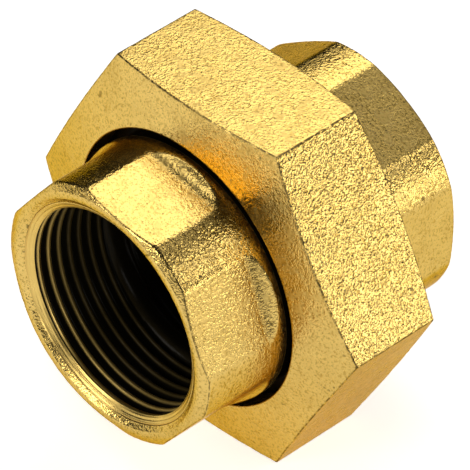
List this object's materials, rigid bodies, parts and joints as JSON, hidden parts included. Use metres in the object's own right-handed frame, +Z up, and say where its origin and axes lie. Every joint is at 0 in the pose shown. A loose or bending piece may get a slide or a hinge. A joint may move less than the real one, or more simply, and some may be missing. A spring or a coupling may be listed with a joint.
{
  "type": "pipe union fitting",
  "caption": "Brass pipe union for irrigation lines: a hexagonal union nut joins a threaded tailpiece to a threaded body over a flat gasket.",
  "frame": {"origin": "on the pipe axis, midway between the two end faces; this is the centre of the whole part's box", "axes": "+Y along the pipe from the tailpiece towards the body, +Z up out of one of the union nut's flats, +X out of one of the nut's corners"},
  "size_m": [0.0774, 0.0596, 0.067],
  "materials": {
    "body_brass": "blasted cast brass, grainy",
    "nut_brass": "blasted cast brass, coarse on some flats",
    "tailpiece_brass": "blasted cast brass with a machined rim and socket",
    "gasket_rubber": "matt black sheet rubber"
  },
  "bodies": {
    "body": {"body": "body_brass"},
    "gasket": {"gasket": "gasket_rubber"},
    "union_nut": {"union_nut": "nut_brass"},
    "tailpiece": {"tailpiece": "tailpiece_brass"}
  },
  "joints": [
    {"name": "union_opening", "type": "slide", "parent": "body", "child": "gasket", "axis": [0, -1, 0], "range_m": [0, 0.01154]},
    {"name": "nut_turn", "type": "hinge", "parent": "gasket", "child": "union_nut", "pos_m": [0, 0, 0], "axis": [0, -1, 0], "range_deg": [0, 1800]},
    {"name": "tailpiece_swivel", "type": "hinge", "parent": "union_nut", "child": "tailpiece", "pos_m": [0, 0, 0], "axis": [0, -1, 0], "continuous": true}
  ],
  "couplings": [
    {"joint": "union_opening", "follows": "nut_turn", "m_per_rad": 0.00036749}
  ]
}
